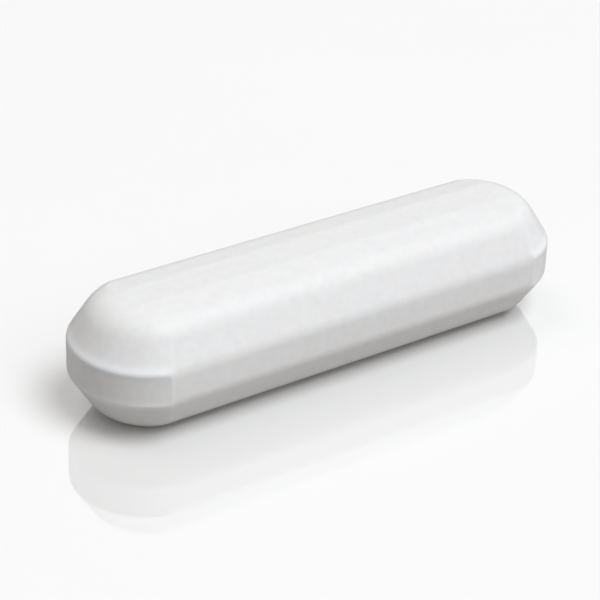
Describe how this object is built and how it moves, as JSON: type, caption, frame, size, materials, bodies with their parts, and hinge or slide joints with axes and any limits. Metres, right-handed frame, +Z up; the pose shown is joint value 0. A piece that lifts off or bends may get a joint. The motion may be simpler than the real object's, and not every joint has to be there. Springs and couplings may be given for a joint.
{
  "type": "magnetic stir bar",
  "caption": "Faceted white stir bar with domed ends and an upright side band; a rod magnet sealed in a moulded PTFE jacket spins on a stirrer to mix a liquid.",
  "frame": {"origin": "under the middle of the bar, on the surface that it lies on", "axes": "+X along the bar, +Y across it, +Z up from the surface"},
  "size_m": [0.0382, 0.0104, 0.0086],
  "materials": {
    "ptfe": "satin white PTFE, slightly translucent",
    "magnet": "cast and ground AlNiCo rod, dull grey"
  },
  "bodies": {
    "root": {"ptfe_jacket": "ptfe", "magnet_core": "magnet"}
  },
  "joints": []
}
